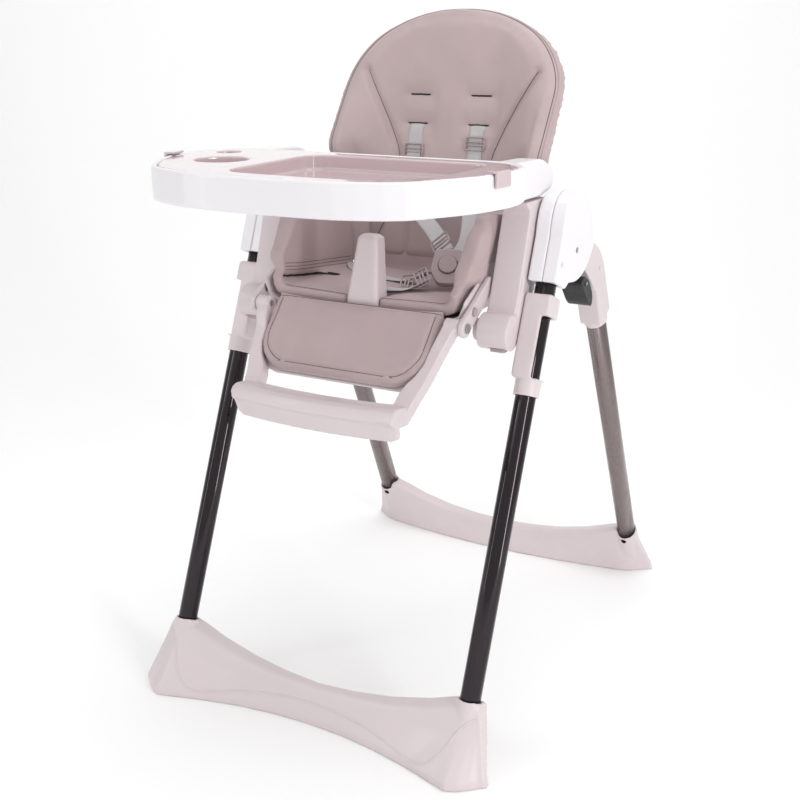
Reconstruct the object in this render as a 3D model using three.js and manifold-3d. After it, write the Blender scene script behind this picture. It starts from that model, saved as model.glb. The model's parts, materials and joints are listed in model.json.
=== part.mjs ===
// Folding baby high chair: two leaning leg frames on bow-shaped feet, a height-sliding
// seat carriage with armrests, reclining back, leg rest, sliding tray and 5-point harness.
// Millimetres. +Z up, -Y front, +X on the right when the chair is seen from the front.
// Drawn from the middle of the four leg ends, then moved so that the origin lies on the
// floor under the middle of the whole chair with its tray.

import * as THREE from 'three';
import { mergeVertices } from 'three/addons/utils/BufferGeometryUtils.js';
import Module from 'manifold-3d';

const wasm = await Module();
wasm.setup();

// ---------------------------------------------------------------- driving dimensions
const GAP = 0.4;                 // clearance kept between touching pieces
const MIDDLE_Y = 26;             // final move, half of what the tray reaches past the feet

const FRONT_X = 249;             // leg tube centre line, left and right
const FRONT_R = 15;
const WALL = 1.6;                // wall of the leg tubes
const SOCKET_Y = 349;            // where the leg tubes enter the feet, front and rear
const SOCKET_Z = 98;
const FRONT_LEAN = 0.403;        // run per rise of the front legs
const REAR_LEAN = -0.514;
const REAR_X = 260;              // rear tube centre line at the height below
const REAR_SOCKET_Z = 90;
const REAR_SPLAY = 0.0238;       // rear legs spread this much in X per mm of drop
const REAR_HALF = [15.5, 20];    // half width and half depth of the oval rear tube
const REAR_TOP_Z = 606;
const TUBE_FOOT_Z = 30;          // how deep the tubes reach into the feet

const FOOT_HALF = [299, 305];      // half length of the front and rear foot
const FOOT_STRAIGHT = 240;       // beyond this the foot rounds off to its end
const FOOT_MID_H = 54;

const PIVOT = [-64, 735];        // fold pivot (y, z)
const HUB_X = [227.5, 271.5];    // inner and outer face of the hub covers
const HUB_R = 88;                // lower rear edge of the hub, around the pivot

const SLIDER_Z = [501, 637];
const DRUM = [-190, 591];        // cross tube centre (y, z)
const DRUM_R = 26;
const COLUMN_X = [181, 225];     // inner and outer face of the armrests
const CROSS_R = 9;               // cross tube under the seat

const SEAT_Z = 606;              // upper face of the seat pan
const SEAT_FRONT_Y = -225;
const SEAT_REAR_Y = 6;
const RECLINE = [28, 612];       // recline hinge (y, z)
const BACK_TOP_Z = 1034;
const BACK_SLOPE = 0.2;          // backward run of the backrest per rise

const LEG_PIVOT = [-238, 602];   // leg rest hinge (y, z)
const LEG_DIR = [-0.643, -0.766]; // down the leg rest (y, z)
const LEG_BUTTON = [-214, 621];  // its release button (y, z)

const TRAY_TILT = 0.025;
const TRAY_TOP = 824;            // rim height above the tray's middle line
const TRAY_Y = -340;             // where the rim height is measured
const RIM_H = 46;

// ---------------------------------------------------------------- colours
const look = (color, roughness, metalness = 0) =>
  new THREE.MeshStandardMaterial({ color, roughness, metalness });
const LOOKS = {
  blush: () => look(0xe1d5d8, 0.45),
  white: () => look(0xf1f1f4, 0.3),
  gloss: () => look(0xc8b2b8, 0.12),
  chrome: () => look(0x55525c, 0.12, 1),
  steel: () => look(0x968787, 0.3, 1),
  leather: () => look(0xb9a8aa, 0.6),
  web: () => look(0xd8d5d6, 0.8),
  mauve: () => look(0xa9999b, 0.4),
  black: () => look(0x17171a, 0.35),
  screw: () => look(0x8a8a90, 0.35, 1),
};

// ---------------------------------------------------------------- solid helpers
function solid(geometry) {
  const bare = geometry.clone();
  bare.deleteAttribute('normal');
  bare.deleteAttribute('uv');
  const merged = mergeVertices(bare, 1e-4);
  return new wasm.Manifold(new wasm.Mesh({
    numProp: 3,
    vertProperties: new Float32Array(merged.attributes.position.array),
    triVerts: new Uint32Array(merged.index.array),
  }));
}

function geometryOf(manifold) {
  const mesh = manifold.getMesh();
  const geometry = new THREE.BufferGeometry();
  geometry.setAttribute('position', new THREE.BufferAttribute(mesh.vertProperties, 3));
  geometry.setIndex(new THREE.BufferAttribute(mesh.triVerts, 1));
  return geometry;
}

const cut = (base, ...tools) =>
  geometryOf(tools.reduce((body, tool) => body.subtract(solid(tool)), solid(base)));
const join = (base, ...more) =>
  geometryOf(more.reduce((body, piece) => body.add(solid(piece)), solid(base)));
const common = (a, b) => geometryOf(solid(a).intersect(solid(b)));

// Closed outline from points; a third number rounds that corner, as far as its edges allow.
function outline(points) {
  const shape = new THREE.Shape();
  const corners = points.map(([x, y, r = 0]) => ({ at: new THREE.Vector2(x, y), r }));
  corners.forEach(({ at, r }, i) => {
    const before = corners.at(i - 1).at.clone().sub(at);
    const after = corners[(i + 1) % corners.length].at.clone().sub(at);
    const round = Math.min(r, 0.48 * before.length(), 0.48 * after.length());
    const start = at.clone().add(before.setLength(round));
    const end = at.clone().add(after.setLength(round));
    if (i === 0) shape.moveTo(start.x, start.y);
    else shape.lineTo(start.x, start.y);
    if (round > 0) shape.quadraticCurveTo(at.x, at.y, end.x, end.y);
  });
  shape.closePath();
  return shape;
}

function circle(x, y, r) {
  const shape = new THREE.Shape();
  shape.absarc(x, y, r, 0, 2 * Math.PI);
  return shape;
}

const AXES = {
  X: new THREE.Matrix4().set(0, 0, 1, 0, 1, 0, 0, 0, 0, 1, 0, 0, 0, 0, 0, 1),
  Y: new THREE.Matrix4().set(1, 0, 0, 0, 0, 0, -1, 0, 0, 1, 0, 0, 0, 0, 0, 1),
  Z: new THREE.Matrix4(),
};

// Extrude an outline drawn in (y, z), (x, z) or (x, y) along the remaining axis.
function prism(axis, shape, from, to, bevel = 0, segments = 6) {
  const low = Math.min(from, to) + bevel;
  const depth = Math.abs(to - from) - 2 * bevel;
  const geometry = new THREE.ExtrudeGeometry(shape, {
    depth,
    curveSegments: segments,
    bevelEnabled: bevel > 0,
    bevelThickness: bevel,
    bevelSize: bevel,
    bevelOffset: -bevel,
    bevelSegments: 2,
  });
  geometry.translate(0, 0, axis === 'Y' ? -low - depth : low);
  return geometry.applyMatrix4(AXES[axis]);
}

function rodMatrix(a, b) {
  const start = new THREE.Vector3(...a);
  const along = new THREE.Vector3(...b).sub(start);
  const turn = new THREE.Quaternion().setFromUnitVectors(
    new THREE.Vector3(0, 1, 0), along.clone().normalize());
  const middle = start.clone().addScaledVector(along, 0.5);
  return new THREE.Matrix4().compose(middle, turn, new THREE.Vector3(1, 1, 1));
}

// Round or oval rod between two points; half is a radius or [half x, half depth].
function rod(a, b, half, sides = 20) {
  const [hx, hy] = Array.isArray(half) ? half : [half, half];
  const length = new THREE.Vector3(...a).distanceTo(new THREE.Vector3(...b));
  const geometry = new THREE.CylinderGeometry(1, 1, length, sides);
  geometry.scale(hx, 1, hy);
  return geometry.applyMatrix4(rodMatrix(a, b));
}

const pipe = (a, b, half, wall, sides = 20) => {
  const inner = Array.isArray(half) ? half.map((h) => h - wall) : half - wall;
  const reach = new THREE.Vector3(...b).sub(new THREE.Vector3(...a)).setLength(2);
  const start = new THREE.Vector3(...a).sub(reach).toArray();
  const end = new THREE.Vector3(...b).add(reach).toArray();
  return cut(rod(a, b, half, sides), rod(start, end, inner, sides));
};

const box = (low, high) => {
  const size = high.map((h, i) => h - low[i]);
  const geometry = new THREE.BoxGeometry(...size);
  return geometry.translate(...low.map((l, i) => l + size[i] / 2));
};

// Closed body through rings of points; each ring runs the same way round.
function loft(rings) {
  const count = rings[0].length;
  const points = rings.flat();
  const index = [];
  for (let r = 0; r < rings.length - 1; r += 1) {
    for (let i = 0; i < count; i += 1) {
      const a = r * count + i;
      const b = r * count + ((i + 1) % count);
      index.push(a, b, b + count, a, b + count, a + count);
    }
  }
  [[0, 1], [rings.length - 1, 0]].forEach(([r, flip]) => {
    const centre = rings[r].reduce((sum, p) => sum.map((v, k) => v + p[k] / count), [0, 0, 0]);
    points.push(centre);
    const c = points.length - 1;
    for (let i = 0; i < count; i += 1) {
      const a = r * count + i;
      const b = r * count + ((i + 1) % count);
      index.push(...(flip ? [c, b, a] : [c, a, b]));
    }
  });
  const geometry = new THREE.BufferGeometry();
  geometry.setAttribute('position', new THREE.Float32BufferAttribute(points.flat(), 3));
  geometry.setIndex(index);
  return facingOut(geometry);
}

function facingOut(geometry) {
  const p = geometry.attributes.position;
  const tri = geometry.index.array;
  const corner = (i) => new THREE.Vector3().fromBufferAttribute(p, i);
  let volume = 0;
  for (let i = 0; i < tri.length; i += 3) {
    volume += corner(tri[i]).dot(corner(tri[i + 1]).cross(corner(tri[i + 2])));
  }
  if (volume < 0) {
    for (let i = 0; i < tri.length; i += 3) [tri[i], tri[i + 1]] = [tri[i + 1], tri[i]];
  }
  return geometry;
}

// Curved sheet of even thickness: surface(u, v) for u, v in 0..1, thickened along its normal.
function sheet(surface, nu, nv, offset, thickness) {
  const step = 1e-3;
  const at = (u, v) => new THREE.Vector3(...surface(u, v));
  const place = (u, v, distance) => {
    const du = at(Math.min(u + step, 1), v).sub(at(Math.max(u - step, 0), v));
    const dv = at(u, Math.min(v + step, 1)).sub(at(u, Math.max(v - step, 0)));
    return at(u, v).addScaledVector(du.cross(dv).normalize(), distance).toArray();
  };
  const rings = [];
  for (let j = 0; j <= nv; j += 1) {
    const ring = [];
    for (let i = 0; i <= nu; i += 1) ring.push(place(i / nu, j / nv, offset));
    for (let i = nu; i >= 0; i -= 1) ring.push(place(i / nu, j / nv, offset + thickness));
    rings.push(ring);
  }
  return stripLoft(rings, nu);
}

// A loft whose end caps are strips between the two faces of the sheet.
function stripLoft(rings, nu) {
  const count = rings[0].length;
  const index = [];
  for (let r = 0; r < rings.length - 1; r += 1) {
    for (let i = 0; i < count; i += 1) {
      const a = r * count + i;
      const b = r * count + ((i + 1) % count);
      index.push(a, b, b + count, a, b + count, a + count);
    }
  }
  [[0, false], [rings.length - 1, true]].forEach(([r, flip]) => {
    for (let i = 0; i < nu; i += 1) {
      const a = r * count + i;
      const far = r * count + count - 1 - i;
      index.push(...(flip ? [a, far - 1, far, a, a + 1, far - 1]
        : [a, far, far - 1, a, far - 1, a + 1]));
    }
  });
  const geometry = new THREE.BufferGeometry();
  geometry.setAttribute('position', new THREE.Float32BufferAttribute(rings.flat(2), 3));
  geometry.setIndex(index);
  return facingOut(geometry);
}

// ---------------------------------------------------------------- guide lines
const frontAt = (s, z) => [s * FRONT_X, -SOCKET_Y + FRONT_LEAN * (z - SOCKET_Z), z];
const rearAt = (s, z) => [
  s * (REAR_X - REAR_SPLAY * (z - REAR_SOCKET_Z)),
  SOCKET_Y + REAR_LEAN * (z - REAR_SOCKET_Z), z];
const legAt = (along, up = 0) => [
  LEG_PIVOT[0] + along * LEG_DIR[0] + up * LEG_DIR[1],
  LEG_PIVOT[1] + along * LEG_DIR[1] - up * LEG_DIR[0],
];
const onX = (s, x, [y, z]) => [s * x, y, z];
const smooth = (x, from, to) => THREE.MathUtils.smoothstep(x, from, to);

// ---------------------------------------------------------------- feet and legs
function footBody(side, length) {
  const section = (x) => {
    const far = Math.abs(x) / FOOT_STRAIGHT;
    const end = Math.max(0, (Math.abs(x) - 244) / (length - 244));
    const pull = Math.max(0.14, 1 - end ** 1.7);
    const reach = Math.min(far, 1.04);
    const outer = 36 + 44 * reach * reach;
    const inner = Math.min(-20 + 23 * reach * reach, 3);
    const middle = (outer + inner) / 2;
    const out = middle + (outer - middle) * pull;
    const back = middle + (inner - middle) * pull;
    const height = FOOT_MID_H + (SOCKET_Z - FOOT_MID_H) * Math.min(far, 1) ** 2.3;
    const crest = 8 * (1 - Math.min(far, 1));
    const half = 11 + 8 * Math.min(far, 1) - 6 * end;
    const wide = (edge, top, t) => top + (edge - top) * t;
    return [
      [back + 1.5, 0], [out - 1.5, 0], [out, 3], [out, 12],
      [wide(out, crest + half, 0.3), height * 0.66],
      [crest + half, height - 5], [crest + half - 6, height],
      [crest - half + 6, height], [crest - half, height - 5],
      [wide(back, crest - half, 0.3), height * 0.66],
      [back, 12], [back, 3],
    ].map(([w, z]) => {
      const over = Math.max(0, Math.abs(x) - FOOT_STRAIGHT);
      const run = Math.abs(x) - over * 0.52 * (z / SOCKET_Z);
      return [Math.sign(x) * run, side * (SOCKET_Y + w), z];
    });
  };
  const half = [0, 60, 120, 180, 226, 250, 266, 280, 291, length];
  const stations = [...half.slice(1).reverse().map((x) => -x), ...half];
  return loft(stations.map(section));
}

function frontFoot() {
  const sockets = [-1, 1].map((s) => rod(frontAt(s, 36), frontAt(s, 99), 19, 20));
  const bores = [-1, 1].map((s) => rod(frontAt(s, TUBE_FOOT_Z - GAP), frontAt(s, 140), FRONT_R + GAP));
  const screws = [-1, 1].map((s) => rod([s * 249, -375, 66], [s * 249, -320, 66], 4.6, 12));
  return cut(join(footBody(-1, FOOT_HALF[0]), ...sockets), ...bores, ...screws);
}

function rearFoot() {
  const wide = REAR_HALF.map((h) => h + GAP);
  const sockets = [-1, 1].map((s) => rod(rearAt(s, 40), rearAt(s, 91), [19.5, 24]));
  const bores = [-1, 1].map((s) => rod(rearAt(s, TUBE_FOOT_Z - GAP), rearAt(s, 140), wide));
  const screws = [-1, 1].map((s) => rod([s * 260, 366, 72], [s * 260, 320, 72], 4.6, 12));
  return cut(join(footBody(1, FOOT_HALF[1]), ...sockets), ...bores, ...screws);
}

// Pan-head screw lying along Y, head towards `face`.
const footScrew = (x, y, z, face, shank) => join(
  rod([x, y, z], [x, y - face * 3, z], 4.2, 10),
  rod([x, y - face * 2, z], [x, y - face * (3 + shank), z], 2.4, 8),
);

// ---------------------------------------------------------------- hub
function hubOutline() {
  const shape = new THREE.Shape();
  const [py, pz] = PIVOT;
  const rearEnd = THREE.MathUtils.degToRad(-27);
  const frontEnd = THREE.MathUtils.degToRad(-92);
  shape.moveTo(-146, 660);
  shape.lineTo(-123, 720);
  shape.bezierCurveTo(-118, 762, -100, 780, -66, 781);
  shape.bezierCurveTo(-30, 781, -12, 760,
    py + HUB_R * Math.cos(rearEnd), pz + HUB_R * Math.sin(rearEnd));
  shape.absarc(py, pz, HUB_R, rearEnd, frontEnd, true);
  shape.lineTo(-92, 650);
  shape.lineTo(-105, 643.5);
  shape.closePath();
  return shape;
}

// Room inside the hub for the lug of the rear leg casting through its whole fold.
function lugRoom(x0, x1) {
  const [py, pz] = PIVOT;
  const fan = new THREE.Shape();
  fan.absarc(py, pz, HUB_R + 14, THREE.MathUtils.degToRad(-118), THREE.MathUtils.degToRad(-22));
  fan.lineTo(py, pz);
  fan.closePath();
  return [prism('X', circle(py, pz, 31), x0, x1, 0, 8), prism('X', fan, x0, x1, 0, 6)];
}

function hubCover(s, inner) {
  const split = (HUB_X[0] + HUB_X[1]) / 2;
  const [from, to] = inner ? [HUB_X[0], split - GAP / 2] : [split + GAP / 2, HUB_X[1]];
  const bevel = 3;
  const reach = inner ? [from, to + bevel] : [from - bevel, to];
  const body = common(prism('X', hubOutline(), s * reach[0], s * reach[1], bevel, 6),
    prism('X', outline([[-160, 600], [60, 600], [60, 800], [-160, 800]]), s * from, s * to));
  const [py, pz] = PIVOT;
  const screws = [[-64, 694], [-124, 682]].map(([y, z]) =>
    rod([s * 264, y, z], [s * 280, y, z], 4.4, 12));
  return cut(body, ...lugRoom(s * 239.5, s * 260.5),
    rod(frontAt(s, 630), frontAt(s, 702), FRONT_R + GAP),
    rod([s * 231, py, pz], [s * 268, py, pz], 6.6),
    ...(inner ? [] : screws));
}

const hubScrew = (s, y, z) => join(
  rod([s * 268.5, y, z], [s * 272, y, z], 4, 10), rod([s * 264.4, y, z], [s * 269, y, z], 2.5, 8));

// ---------------------------------------------------------------- rear leg casting
function casting(s) {
  const [py, pz] = PIVOT;
  const edge = HUB_R + 1.6;
  const shape = new THREE.Shape();
  const high = THREE.MathUtils.degToRad(-26);
  const low = THREE.MathUtils.degToRad(-68);
  shape.absarc(py, pz, edge, low, high, false);
  shape.quadraticCurveTo(60, 684, 81, 655);
  shape.lineTo(128, 571);
  shape.lineTo(86, 549);
  shape.lineTo(52, 612);
  shape.closePath();
  const lug = outline([[py + 4, pz - 20], [py + 22, pz - 14], [py + 84, pz - 46], [py + 38, pz - 88]]);
  const body = join(prism('X', shape, s * 231.5, s * 267, 2, 4),
    prism('X', circle(py, pz, 28), s * 240.5, s * 259.5, 0, 8),
    prism('X', lug, s * 240.5, s * 259.5),
    rod(rearAt(s, 552), rearAt(s, 580), [19, 23.5]));
  const pocket = outline([[-44, 655], [-16, 660], [22, 634], [54, 606], [40, 588], [-20, 600]]);
  return cut(body, rod(rearAt(s, 540), rearAt(s, REAR_TOP_Z + GAP), REAR_HALF.map((h) => h + GAP)),
    rod([s * 230, py, pz], [s * 270, py, pz], 6.4),
    prism('X', pocket, s * 225, s * 275),
    rod([s * 262, 62, 648], [s * 280, 62, 648], 4.4, 12));
}

function trigger(s) {
  const bean = outline([
    [-36, 641, 8], [-20, 649, 7], [4, 638, 10], [24, 612, 10], [22, 593, 9], [4, 601, 9]]);
  return cut(prism('X', bean, s * 235, s * 270.5, 0, 3),
    rod([s * 225, -14, 636], [s * 275, -14, 636], 3.4, 12));
}

const lockPin = (s) => rod([s * 234, -14, 636], [s * 272.5, -14, 636], 3, 12);

// ---------------------------------------------------------------- seat carriage
const besideFront = (z, w) => [-SOCKET_Y + FRONT_LEAN * (z - SOCKET_Z) + 0.928 * w, z - 0.374 * w];

function slider(s) {
  const [low, high] = SLIDER_Z;
  const block = (from, to, front, back, radius) => outline([
    [...besideFront(from, front), radius], [...besideFront(to, front), radius],
    [...besideFront(to, back), radius], [...besideFront(from, back), radius]]);
  return cut(
    join(prism('X', block(low + 22, high, -21, 21, 8), s * 228, s * 268, 3, 4),
      rod(frontAt(s, low), frontAt(s, low + 30), 18.6)),
    rod(frontAt(s, low - 20), frontAt(s, high + 20), FRONT_R + 0.6),
    prism('X', block(525, 608, -34, 34, 4), s * 257, s * 280),
    prism('X', block(525, 608, -4, 34, 4), s * 250, s * 262));
}

function armrest(s) {
  const [inner, outer] = COLUMN_X;
  const [dy, dz] = DRUM;
  const column = outline([
    [-190, 592], [-168, 640, 14], [-143, 722, 10], [-133, 752, 6], [-150, 768, 5],
    [-64, 768, 5], [-78, 742, 8], [-108, 640, 20], [-140, 575, 10]]);
  const web = outline([[-176, 600], [-118, 600], [-122, 640], [-152, 664]]);
  const body = join(prism('X', column, s * inner, s * outer, 0, 5),
    rod([s * 171.5, dy, dz], [s * 190, dy, dz], 16),
    rod([s * inner, dy, dz], [s * 227.2, dy, dz], DRUM_R),
    prism('X', web, s * 212, s * 227.2));
  return cut(body, rod([s * 160, dy, dz], [s * 196, dy, dz], CROSS_R + GAP),
    prism('X', outline([[dy - 14, dz - 40], [dy + 14, dz - 40], [dy + 14, dz - 16], [dy - 14, dz - 16]]),
      s * 196, s * 222));
}

const heightButton = (s) => prism('Z', outline([
  [s * 197, DRUM[0] - 13, 2], [s * 197, DRUM[0] + 13, 2],
  [s * 221, DRUM[0] + 13, 2], [s * 221, DRUM[0] - 13, 2]]), 563, 570.5);

// Bucket seat cross section: flat pan, round corners and side walls up to the swept edge.
const WING_EDGE = [[-225, 634], [-205, 640], [-174, 660], [-99, 742], [-66, 758], [SEAT_REAR_Y, 762]];
function wingTop(y) {
  const k = WING_EDGE.findIndex(([ey]) => ey >= y);
  if (k <= 0) return WING_EDGE[0][1];
  const [[y0, z0], [y1, z1]] = [WING_EDGE[k - 1], WING_EDGE[k]];
  return z0 + (z1 - z0) * ((y - y0) / (y1 - y0));
}

const SEAT_WALL_X = 164;
const SEAT_CORNER = 24;
function seatSurface(u, v) {
  const y = SEAT_FRONT_Y + v * (SEAT_REAR_Y - SEAT_FRONT_Y);
  const s = Math.sign(u - 0.5);
  const t = Math.abs(2 * u - 1);
  const flat = SEAT_WALL_X - SEAT_CORNER;
  if (t < 0.4) return [s * flat * (t / 0.4), y, SEAT_Z];
  if (t < 0.6) {
    const turn = ((t - 0.4) / 0.2) * (Math.PI / 2);
    return [
      s * (flat + SEAT_CORNER * Math.sin(turn)), y, SEAT_Z + SEAT_CORNER * (1 - Math.cos(turn))];
  }
  const low = SEAT_Z + SEAT_CORNER;
  return [s * SEAT_WALL_X, y, low + Math.max(3, wingTop(y) - low) * ((t - 0.6) / 0.4)];
}

const POST = { bottom: [26, -223, -185], top: [17, -206, -177], z: 713 };
function crotchPost() {
  const ring = ([half, y0, y1], z) => {
    const r = 5;
    return [[-half, y0 + r], [-half + r, y0], [half - r, y0], [half, y0 + r],
      [half, y1 - r], [half - r, y1], [-half + r, y1], [-half, y1 - r]]
      .map(([x, y]) => [x, y, z]);
  };
  const cap = [POST.top[0] - 5, POST.top[1] + 5, POST.top[2] - 5];
  return loft([ring(POST.bottom, SEAT_Z + GAP), ring(POST.bottom, 622),
    ring(POST.top, POST.z - 5), ring(cap, POST.z)]);
}

function seatPad() {
  const [half, y0, y1] = POST.bottom;
  return cut(sheet(seatSurface, 20, 6, 0.6, 18.5),
    box([-half - 1, y0 - 10, 600], [half + 1, y1 + 1, 640]));
}

function seatShell() {
  const rail = (s) => {
    const [a, b] = [s * 100, s * 118].sort((p, q) => p - q);
    return cut(box([a, DRUM[0] - 16, 580], [b, DRUM[0] + 16, SEAT_Z - 4]),
      rod([a - 5, ...DRUM], [b + 5, ...DRUM], CROSS_R + GAP));
  };
  const hinge = (s) => cut(
    prism('X', outline([
      [-6, SEAT_Z - 4], [-6, 650], [8, 650], [40, 622, 6], [38, 602, 6], [20, 600, 4]]),
      s * SEAT_WALL_X, s * (SEAT_WALL_X + 5)),
    rod([s * 150, ...RECLINE], [s * 180, ...RECLINE], 4.6, 16));
  return join(sheet(seatSurface, 20, 5, -5, 5), rail(-1), rail(1), hinge(-1), hinge(1));
}

function sideBracket(s) {
  const [y, z] = LEG_PIVOT;
  const arm = outline([[y - 9, z + 9], [y + 9, z - 9], [-160, 634, 6], [-146, 652, 8], [-158, 664, 8]]);
  return cut(
    join(prism('X', arm, s * 170, s * 178), prism('X', circle(y, z, 14), s * 170, s * 178, 0, 8)),
    rod([s * 160, y, z], [s * 190, y, z], 4.4, 16),
    rod([s * 160, ...LEG_BUTTON], [s * 190, ...LEG_BUTTON], 6.4, 16));
}

const legButton = (s) => rod([s * 173, ...LEG_BUTTON], [s * 181, ...LEG_BUTTON], 6, 16);

// ---------------------------------------------------------------- backrest
const BACK_LOW_Z = 634;
const DOME_Z = 905;
function backSurface(u, v) {
  const t = 2 * u - 1;
  const dome = Math.max(0, (v - 0.62) / 0.38) * THREE.MathUtils.degToRad(81);
  const z = v < 0.62 ? BACK_LOW_Z + (DOME_Z - BACK_LOW_Z) * (v / 0.62)
    : DOME_Z + (BACK_TOP_Z - DOME_Z) * (Math.sin(dome) / Math.sin(THREE.MathUtils.degToRad(81)));
  const half = (130 + 40 * smooth(z, 660, 835)) * Math.cos(dome);
  const fall = z < 925 ? 80 - 55 * ((z - 800) / 125) : 25 * ((BACK_TOP_Z + 2 - z) / 110);
  const edge = Math.max(0, Math.abs(t) - 0.45) / 0.55;
  return [t * half, 62 + BACK_SLOPE * (z - 856) - smooth(z, 735, 832) * fall * edge ** 1.8, z];
}

function backShell() {
  const ear = (s) => join(
    prism('X', outline([
      [22, 606], [36, 603], [58, 628], [62, 664], [56, 664], [51, 632], [44, 624], [24, 619]]),
      s * 112, s * 134),
    rod([s * 112, ...RECLINE], [s * 134, ...RECLINE], 9, 16));
  const bores = [-1, 1].map((s) => rod([s * 100, ...RECLINE], [s * 150, ...RECLINE], 4.5, 16));
  const padRoom = sheet(backSurface, 14, 12, -28.8, 34);
  return cut(join(cut(sheet(backSurface, 14, 12, -36, 6.4), padRoom), ear(-1), ear(1)), ...bores);
}

const reclinePin = (s) => rod([s * 110, ...RECLINE], [s * 171, ...RECLINE], 4, 16);

function reclineLever() {
  const plate = outline([[120, 948], [127, 948], [125, 888], [115, 884], [115, 930]]);
  return prism('X', plate, -32, 32);
}

// ---------------------------------------------------------------- leg rest
const LEG_X = [146, 169.5];
const LEG_ARM_HALF = 10;         // half depth of the leg rest's side arms

// Footboard section at x: a flat step with a skirt down its front, bowed in plan.
function footboardRing(x) {
  const y = -378 + 14 * (x / 134) ** 2;
  const low = 463 + (Math.abs(x) > 125 ? 5 : 0);
  return [[y + 12, low], [y + 17, low - 3], [y + 21, low + 2], [y + 12, 494],
    [y + 46, 497], [y + 46, 505], [y + 10, 510], [y + 1, 507], [y - 4, 500], [y - 2, 492],
    [y + 3, 488]].map(([py, pz]) => [x, py, pz]);
}

// Side arm from the hinge down to the footboard, leaning inwards on its way.
function legArm(s) {
  const ring = (x0, x1, [y, z]) => {
    const [dy, dz] = [LEG_ARM_HALF * LEG_DIR[1], -LEG_ARM_HALF * LEG_DIR[0]];
    return [[s * x0, y + dy, z + dz], [s * x1, y + dy, z + dz],
      [s * x1, y - dy, z - dz], [s * x0, y - dy, z - dz]];
  };
  return loft([
    ring(147, 166, legAt(-2)), ring(143, 162, legAt(20)), ring(137, 155, legAt(42, -4)),
    ring(134.8, 151, legAt(66, -4)), ring(128, 148, legAt(84, -4)), ring(119, 145, legAt(97, -4)),
    ring(113, 141, legAt(112, -4)), ring(109, 134, legAt(150, -2)), ring(108, 130, [-364, 487])]);
}

function legFrame() {
  const bar = loft([-132, -122, -90, -45, 0, 45, 90, 122, 132].map(footboardRing));
  const disc = (s) => prism('X', circle(...LEG_PIVOT, 12), s * LEG_X[0], s * LEG_X[1], 1, 8);
  const slab = prism('X', outline([legAt(17, -18), legAt(17, -12), legAt(103, -12), legAt(103, -18)]),
    -150, 150);
  const panel = common(slab, legPlan(-40, 0, 150));
  const bores = [-1, 1].map((s) => rod([s * 140, ...LEG_PIVOT], [s * 180, ...LEG_PIVOT], 4.4, 16));
  return cut(join(bar, legArm(-1), legArm(1), disc(-1), disc(1), panel), ...bores);
}

// Leg rest outline with round lower corners, as a slab between two heights above its plane.
function legPlan(low, high, half) {
  const edge = [[half, 64, 20], [half - 20, 96, 24], [half - 62, 107, 20]];
  const shape = outline([[-half, 10], [half, 10], ...edge,
    ...edge.toReversed().map(([x, along, r]) => [-x, along, r])]);
  const slab = new THREE.ExtrudeGeometry(shape, {
    depth: high - low,
    bevelEnabled: false,
    curveSegments: 8,
  });
  slab.translate(0, 0, low);
  const [dy, dz] = LEG_DIR;
  const turn = new THREE.Matrix4().set(
    1, 0, 0, 0,
    0, dy, dz, LEG_PIVOT[0],
    0, dz, -dy, LEG_PIVOT[1],
    0, 0, 0, 1);
  slab.applyMatrix4(turn);
  slab.deleteAttribute('normal');
  slab.deleteAttribute('uv');
  return facingOut(mergeVertices(slab));
}

const legBolt = (s) => join(
  rod([s * 148, ...LEG_PIVOT], [s * 179, ...LEG_PIVOT], 4, 16),
  rod([s * 178.4, ...LEG_PIVOT], [s * 181, ...LEG_PIVOT], 7, 16));

// ---------------------------------------------------------------- tray
const TRAY_HALF_X = 262;
const TRAY_BACK_Y = -192;
const TRAY_PLAN = [[0, -487], [60, -485], [110, -480], [155, -465], [190, -445], [220, -403],
  [245, -355], [259, -310], [TRAY_HALF_X, -270], [255, -235], [232, -205]];
const TRAY_CENTRE_Y = -340;

// Plan outline, shrunk towards the middle by `inset` all round; `back` is its rear edge.
function trayPlan(inset, back) {
  const kx = 1 - inset / TRAY_HALF_X;
  const ky = 1 - inset / 147;
  const half = TRAY_PLAN.map(([x, y]) =>
    new THREE.Vector2(x * kx, TRAY_CENTRE_Y + (y - TRAY_CENTRE_Y) * ky));
  const mirror = half.slice(1).reverse().map((p) => new THREE.Vector2(-p.x, p.y));
  const curve = new THREE.SplineCurve([...mirror, ...half]);
  const edge = curve.getPoints(30);
  const last = edge[edge.length - 1];
  const rear = [[last.x - 36, back, 14], [-last.x + 36, back, 14]];
  return outline([...edge.map((p) => [p.x, p.y]), ...rear]);
}

const trayTilt = (geometry) => {
  geometry.translate(0, -TRAY_Y, -TRAY_TOP);
  geometry.rotateX(Math.atan(TRAY_TILT));
  return geometry.translate(0, TRAY_Y, TRAY_TOP);
};

const ARM_X = [187, 224];
function trayBase() {
  const shell = prism('Z', trayPlan(0, TRAY_BACK_Y), TRAY_TOP - RIM_H, TRAY_TOP, 3, 3);
  const hollow = prism('Z', trayPlan(8, TRAY_BACK_Y - 8), TRAY_TOP - RIM_H + 8, TRAY_TOP + 5, 0, 3);
  const arm = (s) => prism('X', outline([[-300, 784], [-262, 826, 4], [-90, 824, 12], [-46, 806, 13],
    [-46, 780, 12], [-90, 771.5, 6], [-250, 771.5, 6]]), s * ARM_X[0], s * ARM_X[1], 2, 4);
  return cut(join(trayTilt(shell), arm(-1), arm(1)), trayTilt(hollow));
}

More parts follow.
